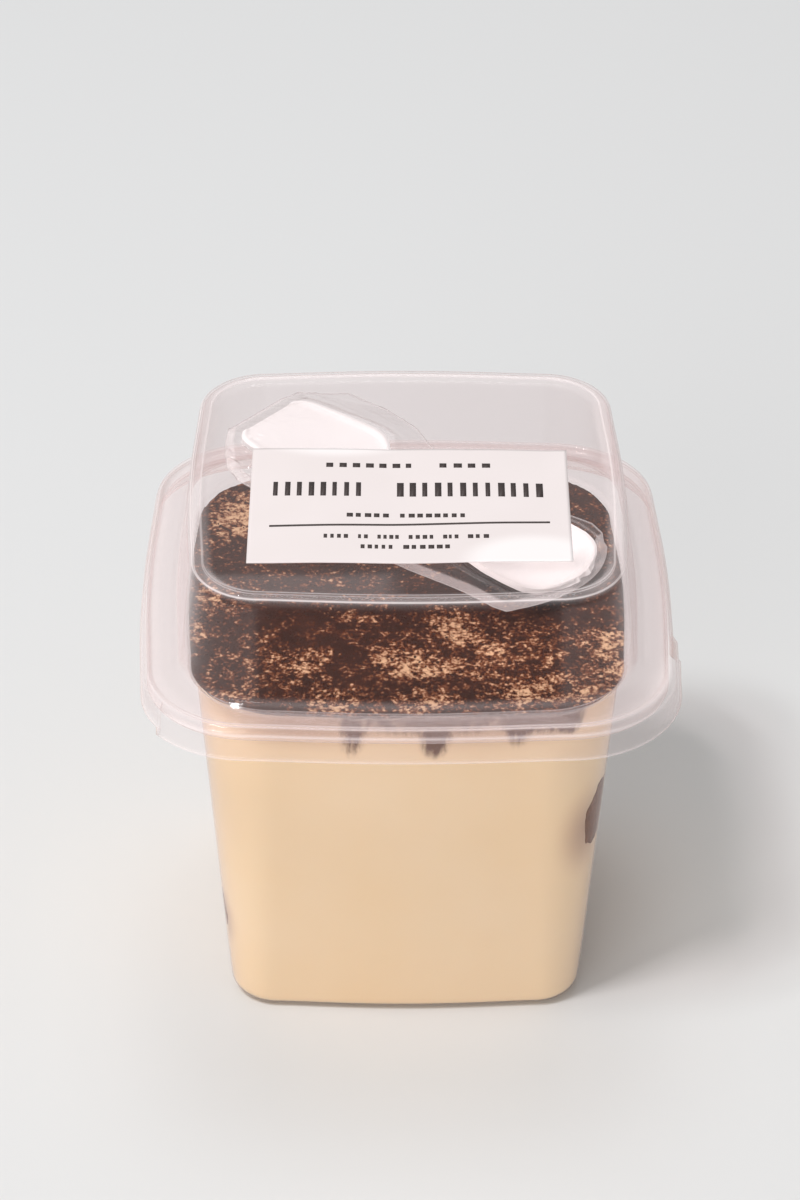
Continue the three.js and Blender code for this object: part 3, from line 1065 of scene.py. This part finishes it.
@dataclass
class SpongePiece:
    """A soaked piece of sponge that shows through the wall."""

    name: str
    node: str
    centre: Vector
    size: Vector
    seed: float
    into_wall: float = 0.16

    def build(self, finish: OpaqueFinish) -> bpy.types.Object:
        """Makes the piece: a rough lump, cut off flush by the wall."""
        bm = bmesh.new()
        bmesh.ops.create_icosphere(bm, subdivisions=6, radius=1.0)
        for vert in bm.verts:
            way = vert.co.copy()
            rough = noise.fractal(way * 1.3 + Vector((self.seed, 0, 0)), 1.0, 2.2, 3)
            reach = 1 + 0.28 * rough
            spot = Vector(a * b * reach for a, b in zip(way, self.size)) + self.centre
            vert.co = self.inside(spot)
        bmesh.ops.recalc_face_normals(bm, faces=bm.faces)
        return finish_piece(self.name, bm, finish.material(), [self.node])

    def inside(self, spot: Vector) -> Vector:
        """A point drawn straight back to the wall if it lies past it."""
        station = wall_at(spot.z)
        straight = station.half - SIDE_BULGE - station.corner
        out = Vector((max(0, abs(spot.x) - straight), max(0, abs(spot.y) - straight)))
        share = min(1.0, abs(spot.y if abs(spot.x) > abs(spot.y) else spot.x) / straight)
        bow = SIDE_BULGE * (1 - share * share) if share < 1 else 0.0
        limit = station.corner + bow - self.into_wall
        if out.length <= limit:
            return spot
        out *= limit / out.length
        x = math.copysign(straight + out.x, spot.x) if abs(spot.x) > straight else spot.x
        y = math.copysign(straight + out.y, spot.y) if abs(spot.y) > straight else spot.y
        return Vector((x, y, spot.z))


@dataclass
class SpoonFrame:
    """The spoon's own frame: its first axis runs from the handle's end to the bowl's end."""

    origin: Vector = field(default_factory=lambda: Vector((-26.9, 28.7, 97.0)))
    azimuth: float = math.radians(-27.5)
    slope: float = -0.252

    def matrix(self) -> Matrix:
        """From the spoon's frame to the box's."""
        fall = math.atan(self.slope)
        along = Vector(
            (
                math.cos(self.azimuth) * math.cos(fall),
                math.sin(self.azimuth) * math.cos(fall),
                math.sin(fall),
            )
        )
        across = Vector((0, 0, 1)).cross(along).normalized()
        axes = Matrix((along, across, along.cross(across))).transposed().to_4x4()
        return Matrix.Translation(self.origin) @ axes


@dataclass(frozen=True)
class Hollow:
    """A dished part of the spoon, along its axis."""

    start: float
    end: float
    depth: float

    def at(self, u: float) -> float:
        """How deep the middle lies at a place."""
        share = (2 * u - self.start - self.end) / (self.end - self.start)
        return self.depth * (1 - share * share) ** 1.4 if abs(share) < 1 else 0.0


@dataclass
class PlasticSpoon:
    """The white spoon: a wide square-cut handle end, a narrow neck and a rounded bowl."""

    place: SpoonFrame
    length: float = 69.5
    thickness: float = 1.1
    half_widths: tuple[tuple[float, float], ...] = (
        (0, 7.8), (0.4, 8.9), (1.3, 9.9), (3, 10.6), (8, 11.4), (14, 12.2), (17, 12.3), (19, 11.8),
        (21, 10.3), (23, 7.9), (25, 5.9), (28, 4.7), (34, 4.3), (40, 4.7), (43, 6.4), (46, 8.5),
        (50, 10.3), (55, 11.6), (60, 12.1), (63.5, 11.9), (65.6, 10.9), (67.2, 9.3), (68.4, 7.1),
        (69.1, 4.9), (69.5, 2.4),
    )
    middle: tuple[tuple[float, float], ...] = ((0, 0), (40, 0), (60, 1.4))
    slant: tuple[tuple[float, float], ...] = ((0, 0.19), (30, 0.05), (45, 0.03), (69.5, 0.13))
    hollows: tuple[Hollow, ...] = (Hollow(0, 28, 0.7), Hollow(41, 69.5, 5.0))
    rib_height: float = 0.35
    rib_inset: float = 1.0
    rim_radius: float = 0.3
    rows: int = 170
    columns: int = 28

    def half_width(self, u: float) -> float:
        """Half the spoon's width at a place along it."""
        around = [interpolate(self.half_widths, u + step) for step in (-0.35, 0.0, 0.35)]
        return sum(around) / len(around)

    def hollow(self, u: float, v: float) -> float:
        """How deep the spoon is dished at a place."""
        aside = (v - interpolate(self.middle, u)) / max(self.half_width(u), 1.0)
        return sum(hollow.at(u) for hollow in self.hollows) * max(0.0, 1 - aside * aside)

    def build(self, finish: OpaqueFinish) -> bpy.types.Object:
        """Makes the spoon."""
        bm = bmesh.new()
        bmesh.ops.create_grid(bm, x_segments=self.rows, y_segments=self.columns, size=1.0)
        for vert in bm.verts:
            u = self.length / 2 * (1 + math.sin(vert.co.x * math.pi / 2))
            half = self.half_width(u)
            aside = math.sin(vert.co.y * math.pi / 2) * half
            v = aside + interpolate(self.middle, u)
            from_rib = abs(aside) - half + self.rib_inset
            rib = self.rib_height * math.exp(-(from_rib**2) / 0.5)
            height = self.thickness / 2 - self.hollow(u, v) + rib
            vert.co = Vector((u + interpolate(self.slant, u) * v, v, height))
        bmesh.ops.recalc_face_normals(bm, faces=bm.faces)
        bmesh.ops.transform(bm, matrix=self.place.matrix(), verts=bm.verts)
        piece = finish_piece("spoon_moulded", bm, finish.material(), ["spoon"])
        give_thickness(piece, self.thickness, even=False)
        soften = piece.modifiers.new("soft rim", "BEVEL")
        soften.width = self.rim_radius * MM
        soften.segments = 3
        soften.angle_limit = math.radians(50)
        return piece


@dataclass
class FilmSleeve:
    """The clear film sleeve round the spoon, sealed along its edges and crumpled at its back end."""

    place: SpoonFrame
    spoon: PlasticSpoon
    start: float = -2.7
    end: float = 66.7
    left_edge: tuple[tuple[float, float], ...] = (
        (-2.7, -8.5), (0, -13), (4, -17.5), (8, -19.5), (20, -20.3), (43, -19.8), (50, -18.8),
        (63, -18.0), (65.6, -17.2), (66.7, -15),
    )
    right_edge: tuple[tuple[float, float], ...] = (
        (-2.7, 7.5), (-1.9, 11.7), (4, 20.6), (12, 21.6), (20, 20.2), (26, 17), (57, 17.4),
        (61, 18.6), (64, 17.6), (66.7, 14),
    )
    slant: tuple[tuple[float, float], ...] = ((0, 0.19), (66.7, 0.165))
    rows: int = 170
    columns: int = 110
    loose: float = 0.4
    film_gap: float = 0.03
    seal: float = 2.7
    seal_haze: float = 0.27
    edge_haze: float = 0.33
    room: float = 0.4
    headroom: float = 0.35
    lowest: float = 77.9
    end_bulge: float = 4.8

    def edge(self, u: float, side: int) -> float:
        """Where the film's left (0) or right (1) edge lies at a place along the spoon."""
        return interpolate(self.right_edge if side else self.left_edge, u)

    def sag(self, u: float, v: float) -> float:
        """The middle level of the film: it trails towards its corners and waves."""
        wave = 0.35 * math.sin(0.3 * u) * math.cos(0.2 * v)
        return wave - 1.4 * (v / 20) ** 2

    def creases(self, u: float, v: float, seed: float) -> float:
        """Sharp little folds, deeper towards the crumpled back end and its left corner."""
        at = Vector((u / 7.5, v / 4.0, seed))
        fold = 1 - abs(noise.fractal(at, 0.7, 2.1, 3)) * 3.2
        back = smoothstep(-u - 0.6 * v, -14, 6)
        corner = smoothstep(-v - 0.5 * u, 6, 14)
        calm = 1 - 0.8 * smoothstep(u, 48, 58)
        return max(0.0, fold) ** 2 * (0.3 + 1.3 * max(back, corner)) * calm

    def reach(self, u: float, v: float) -> float:
        """Where a place of the film lies along the spoon: its end bulges past the bowl's end."""
        return u + self.end_bulge * smoothstep(u, 48, self.end) * max(0.0, 1 - (v / 15) ** 2)

    def beside(self, u: float, v: float) -> float:
        """How far a place lies beside the spoon, below 0 over it."""
        at = self.reach(u, v)
        return abs(v - interpolate(self.spoon.middle, at)) - self.spoon.half_width(at)

    def half_gap(self, u: float, v: float) -> float:
        """Half the distance between the two films: the spoon lies between them."""
        beside = self.beside(u, v)
        lies_in = 1 - smoothstep(beside, 0.2, 3.5)
        begun = smoothstep(u, self.start + 0.3, 1.5)
        near_end = begun * (1 - smoothstep(u, self.end - 0.9, self.end))
        return self.film_gap + (0.6 * self.spoon.thickness + self.loose) * lies_in * near_end

    def spot(self, u: float, v: float, side: int) -> Vector:
        """A point of the upper (1) or lower (-1) film, in the spoon's frame."""
        deep = self.spoon.hollow(self.reach(u, v), v) if side < 0 else 0.0
        free = self.half_gap(u, v)
        beside = self.beside(u, v)
        free_share = 0.15 + 0.85 * smoothstep(beside, -1.0, 2.5)
        fold = self.creases(u, v, 1.7 if side > 0 else 8.3) * free_share
        along = self.reach(u, v) + interpolate(self.slant, u) * v
        level = self.sag(u, v) * 0.9 - deep + side * free
        return Vector((along, v, level + fold * (0.4 + side * 0.2)))

    def haze_and_sheen(self, u: float, v: float) -> float:
        """How pale the film is: along its two seals and in a thin line along its edges."""
        left, right = v - self.edge(u, 0), self.edge(u, 1) - v
        seal = 1 - smoothstep(min(left, self.end - u), self.seal - 0.2, self.seal)
        line = 1 - smoothstep(min(left, right, self.end - u, u - self.start), 0.2, 0.6)
        return max(self.seal_haze * seal, self.edge_haze * line)

    def within_dome(self, point: Vector) -> Vector:
        """A point in the box's frame, kept inside the dome's walls and under its panel."""
        top = PANEL_Z - SHEET - self.headroom
        up = (point.z - DOME_FOOT_Z) / (DOME_TOP_Z - DOME_FOOT_Z)
        half = DOME_FOOT_HALF - (DOME_FOOT_HALF - DOME_TOP_HALF) * up - SHEET - self.room
        x = max(-half, min(half, point.x))
        y = max(-half, min(half, point.y))
        turned_up = 0.7 * (abs(point.x - x) + abs(point.y - y))
        return Vector((x, y, max(self.lowest, min(top, point.z + turned_up))))

    def build(self, finish: ClearSheet) -> bpy.types.Object:
        """Makes the sleeve as one thin closed envelope."""
        bm, haze_and_sheen, under = closed_grid(self.rows, self.columns, "haze_and_sheen")
        matrix = self.place.matrix()
        for vert in bm.verts:
            u = self.start + (self.end - self.start) * (vert.co.x + 1) / 2
            left, right = self.edge(u, 0), self.edge(u, 1)
            v = left + (right - left) * (vert.co.y + 1) / 2
            vert[haze_and_sheen] = self.haze_and_sheen(u, v)
            side = -1 if vert in under else 1
            vert.co = self.within_dome(matrix @ self.spot(u, v, side))
        bmesh.ops.recalc_face_normals(bm, faces=bm.faces)
        return finish_piece("film_sleeve", bm, finish.material(), ["sleeve"])


@dataclass(frozen=True)
class PrintRow:
    """A row of small blocks, in millimetres on the label. Each group has a start, end and count."""

    y: float
    height: float
    ink: float
    groups: tuple[tuple[float, float, int], ...]


@dataclass
class PaperLabel:
    """The white label on the lid's panel and its generic print of plain bars."""

    width: float = 60.2
    height: float = 39.7
    centre: Vector = field(default_factory=lambda: Vector((0.4, -8.0, 0)))
    turn: float = math.radians(-0.6)
    lift: float = 100.32
    curl: float = 0.8
    thickness: float = 0.1
    print_rise: float = 0.03
    ink_thickness: float = 0.02
    rows: tuple[PrintRow, ...] = (
        PrintRow(13.9, 1.5, 0.5, ((-15.9, 1.8, 7), (5.7, 16.5, 4))),
        PrintRow(5.4, 4.8, 0.46, ((-25.8, -7.9, 8), (-2.4, 26.3, 12))),
        PrintRow(-3.6, 1.3, 0.6, ((-11.8, -3.3, 5), (-1.8, 11.1, 8))),
        PrintRow(
            -10.9,
            1.3,
            0.6,
            (
                (-16, -11, 4),
                (-9.6, -7.4, 2),
                (-6, -1.6, 4),
                (-0.2, 5, 4),
                (6.2, 9.4, 3),
                (10.8, 15.2, 3),
            ),
        ),
        PrintRow(-14.3, 1.3, 0.6, ((-9.1, -2.6, 5), (-1.2, 8.1, 6))),
    )
    rule_y: float = -6.7
    rule_tilt: float = 0.03
    rule_width: float = 52.4
    rule_height: float = 0.62

    def rise(self, x: float, y: float) -> float:
        """How far the paper stands off the panel: slight waves and one lifting corner."""
        corner = max(0.0, x / self.width + 0.5 + (0.5 - y / self.height) - 1.2) / 0.8
        wave = 0.11 * (1 - math.cos(4 * math.pi * x / self.width))
        edge = 0.16 * math.sin(0.21 * x + 0.8) * (y / self.height + 0.5)
        return self.curl * corner**2 + wave + max(0.0, edge)

    def painted_spoon_light(self, x: float, y: float) -> float:
        """How much painted light the paper gets from the white spoon behind it, as seen from the
        front.
        """
        bowl = math.hypot((x - 23) / 15, (y + 19) / 10)
        handle = math.hypot((x + 14) / 17, (y - 24) / 8)
        return max(1 - smoothstep(bowl, 0.6, 1.0), 1 - smoothstep(handle, 0.6, 1.0))

    def matrix(self) -> Matrix:
        """From the label's own frame to the box's."""
        return Matrix.Translation(self.centre) @ Matrix.Rotation(self.turn, 4, "Z")

    def build_paper(self, finish: LabelPaper) -> bpy.types.Object:
        """Makes the sheet of paper."""
        bm = bmesh.new()
        bmesh.ops.create_grid(bm, x_segments=90, y_segments=60, size=0.5)
        painted_spoon_light = bm.verts.layers.float.new("painted_spoon_light")
        for vert in bm.verts:
            x, y = vert.co.x * self.width, vert.co.y * self.height
            vert[painted_spoon_light] = self.painted_spoon_light(x, y)
            vert.co = Vector((x, y, self.lift + self.rise(x, y)))
        bmesh.ops.transform(bm, matrix=self.matrix(), verts=bm.verts)
        piece = finish_piece("label_sheet", bm, finish.material(), ["label"])
        give_thickness(piece, self.thickness)
        piece.visible_shadow = False  # thin paper lets light through to the spoon under it
        return piece

    def add_bar(self, bm: bmesh.types.BMesh, start: Vector, size: Vector, tilt: float = 0.0) -> None:
        """Adds one printed bar that follows the paper.

        Args:
            bm: The mesh that gets the bar.
            start: The middle of its left end on the label.
            size: Its width and height.
            tilt: How much it rises for each millimetre along it.
        """
        across = max(1, round(size.x))
        made = bmesh.ops.create_grid(bm, x_segments=across, y_segments=1, size=0.5)
        for vert in made["verts"]:
            x = start.x + (vert.co.x + 0.5) * size.x
            y = start.y + vert.co.y * size.y + tilt * (x - start.x - size.x / 2)
            vert.co = Vector((x, y, self.lift + self.rise(x, y) + self.print_rise))

    def build_print(self, finish: OpaqueFinish) -> bpy.types.Object:
        """Makes the print: rows of blocks and one thin rule."""
        draw = random.Random(5)
        bm = bmesh.new()
        for row in self.rows:
            for start, end, count in row.groups:
                pitch = (end - start) / count
                for i in range(count):
                    size = Vector((pitch * row.ink * draw.uniform(0.8, 1.2), row.height))
                    self.add_bar(bm, Vector((start + i * pitch, row.y)), size)
        rule = Vector((self.rule_width, self.rule_height))
        self.add_bar(bm, Vector((-self.rule_width / 2, self.rule_y)), rule, self.rule_tilt)
        bmesh.ops.transform(bm, matrix=self.matrix(), verts=bm.verts)
        piece = finish_piece("label_print", bm, finish.material())
        give_thickness(piece, self.ink_thickness)
        return piece


@dataclass(frozen=True)
class SoftBox:
    """A soft box: where it stands and its width and height in metres, and its power in watts."""

    name: str
    place: tuple[float, float, float]
    size: tuple[float, float]
    power: float


@dataclass
class Studio:
    """The camera, the pale floor and the soft light of the photograph."""

    eye: Vector = field(default_factory=lambda: Vector((-9.808, -641.33, 505.966)))
    azimuth: float = math.radians(0.77)
    tilt: float = math.radians(33.99)
    roll: float = 0.00683
    focal_length: float = 120.0
    floor_tone: str = "#dadada"
    floor_size: float = 6.0
    lamps: tuple[SoftBox, ...] = (
        SoftBox("key soft box", (-0.86, -0.64, 2.19), (0.4, 0.4), 33.5),
        SoftBox("front fill", (-1.3, -2.7, 1.25), (1.8, 1.2), 23.0),
        SoftBox("ceiling fill", (0.0, 0.7, 2.0), (0.8, 0.8), 9.0),
    )
    aim: Vector = field(default_factory=lambda: Vector((0, 0, 0.05)))
    room_tone: str = "#eeeff0"
    room_strength: float = 0.425

    def camera(self) -> None:
        """Adds the camera at the photograph's place and angle."""
        forward = Vector(
            (
                math.sin(self.azimuth) * math.cos(self.tilt),
                math.cos(self.azimuth) * math.cos(self.tilt),
                -math.sin(self.tilt),
            )
        )
        level = forward.cross(Vector((0, 0, 1))).normalized()
        upright = level.cross(forward)
        right = level * math.cos(self.roll) + upright * math.sin(self.roll)
        axes = Matrix((right, right.cross(forward), -forward)).transposed().to_4x4()
        data = bpy.data.cameras.new("photograph camera")
        data.lens = self.focal_length
        data.sensor_width = 36.0
        data.clip_start, data.clip_end = 0.01, 20.0
        camera = bpy.data.objects.new("photograph camera", data)
        camera.matrix_world = Matrix.Translation(ROW @ self.eye) @ axes
        bpy.context.scene.collection.objects.link(camera)
        bpy.context.scene.camera = camera

    def floor(self) -> None:
        """Adds the plain pale floor."""
        material, tree = new_material("pale_matt_table_top")
        shader = add_node(
            tree,
            "BsdfPrincipled",
            {"Base Color": self.floor_tone, "Roughness": 0.75, "Specular IOR Level": 0.2},
        )
        add_node(tree, "OutputMaterial", {"Surface": shader})
        bm = bmesh.new()
        bmesh.ops.create_grid(bm, x_segments=1, y_segments=1, size=self.floor_size / 2)
        mesh = bpy.data.meshes.new("floor")
        bm.to_mesh(mesh)
        bm.free()
        mesh.materials.append(material)
        floor = bpy.data.objects.new("floor", mesh)
        bpy.context.scene.collection.objects.link(floor)

    def light(self, lamp: SoftBox) -> None:
        """Adds a soft box."""
        data = bpy.data.lights.new(lamp.name, "AREA")
        data.shape = "RECTANGLE"
        data.size, data.size_y = lamp.size
        data.energy = lamp.power
        thing = bpy.data.objects.new(lamp.name, data)
        place = Vector(lamp.place)
        turn = (self.aim - place).to_track_quat("-Z", "Y").to_matrix().to_4x4()
        thing.matrix_world = Matrix.Translation(place) @ turn
        bpy.context.scene.collection.objects.link(thing)

    def surround(self) -> None:
        """Adds the plain pale room."""
        world = bpy.data.worlds.new("pale room")
        world.use_nodes = True
        background = world.node_tree.nodes["Background"]
        background.inputs["Color"].default_value = linear(self.room_tone)
        background.inputs["Strength"].default_value = self.room_strength
        bpy.context.scene.world = world

    def colours(self) -> None:
        """Shows colours as they are, and lets rays through as many clear sheets as there are."""
        scene = bpy.context.scene
        scene.view_settings.view_transform = "Standard"
        scene.cycles.transparent_max_bounces = 32

    def build(self) -> None:
        """Sets the whole studio up."""
        self.camera()
        self.floor()
        for lamp in self.lamps:
            self.light(lamp)
        self.surround()
        self.colours()


FRONT_SMEARS = (
    SmearOrShade((-10.5, -40.0, 70.0), (3.8, 6.0, 7.5), 1.3),
    SmearOrShade((5.0, -40.2, 68.5), (4.4, 6.0, 6.0), 1.5),
    SmearOrShade((20.3, -39.6, 70.5), (3.6, 6.0, 6.2), 1.2),
    SmearOrShade((30.4, -38.3, 71.0), (3.0, 6.0, 3.6), 1.3),
    SmearOrShade((5.0, -40.2, 74.4), (29.0, 6.0, 6.4), 1.5),
    SmearOrShade((27.0, -39.0, 73.6), (12.0, 6.0, 6.0), 1.6),
)
# painted shade on the cream's side: darker round the right and left sponge pieces and along the top
# band under the flange
WALL_SHADES = (
    SmearOrShade((35.0, -33.5, 43.0), (9.0, 9.0, 14.0), 0.8),
    SmearOrShade((-20.0, -40.0, 73.0), (26.0, 9.0, 8.0), 0.85),
    SmearOrShade((14.0, -40.0, 73.0), (30.0, 9.0, 8.0), 0.7),
    SmearOrShade((-35.0, -27.0, 18.6), (6.0, 6.0, 9.0), 0.7),
)


def main() -> None:
    """Builds the tiramisu and its studio, and reports each piece."""
    logging.basicConfig(level=logging.INFO, format="%(name)s: %(message)s", stream=sys.stdout)
    outline = BoxOutline()
    cup = ClearCup(outline)
    cup.build()
    DomedLid(outline).build()
    CreamFill(outline, cup).build(DairyCream(FRONT_SMEARS, WALL_SHADES))
    dusting = CocoaDusting(outline)
    dusting.build(CocoaPowder())
    # loose crumbs of the same powder, darker and lighter in soft patches
    dusting.build_clumps(OpaqueFinish("cocoa_powder_clumped", "#2c1913", "#5a3424", 0.8, 0.95, 0.1))
    # baked sponge soaked in coffee: wet and dark, with pores of 1 to 2 mm
    crumb = OpaqueFinish("coffee_soaked_sponge_crumb", "#4a2513", "#95603a", 1.4, 0.7, 0.4)

    for name, node, centre, size, seed in (
        ("sponge_at_right", "sponge_right", (34.4, -27.4, 46), (4.8, 6.0, 8.2), 0.4),
        ("sponge_at_left", "sponge_left", (-33.4, -24.6, 18.6), (3.2, 4.6, 5.6), 2.1),
    ):
        SpongePiece(name, node, Vector(centre), Vector(size), seed).build(crumb)
    place = SpoonFrame()
    spoon = PlasticSpoon(place)
    # polystyrene from a polished mould: even, white and half glossy
    spoon.build(
        OpaqueFinish("white_polystyrene_injection_moulded", "#fefcfb", "#ffffff", 9.0, 0.32, 0.05, 0.5)
    )
    FilmSleeve(place, spoon).build(SLEEVE_FILM)
    label = PaperLabel()
    label.build_paper(LabelPaper())
    # flexographic ink: thin, near black and a little warm
    label.build_print(OpaqueFinish("near_black_printing_ink", "#3b3231", "#4a403e", 0.5, 0.5, 0.005))
    Studio().build()


if __name__ == "__main__":
    main()
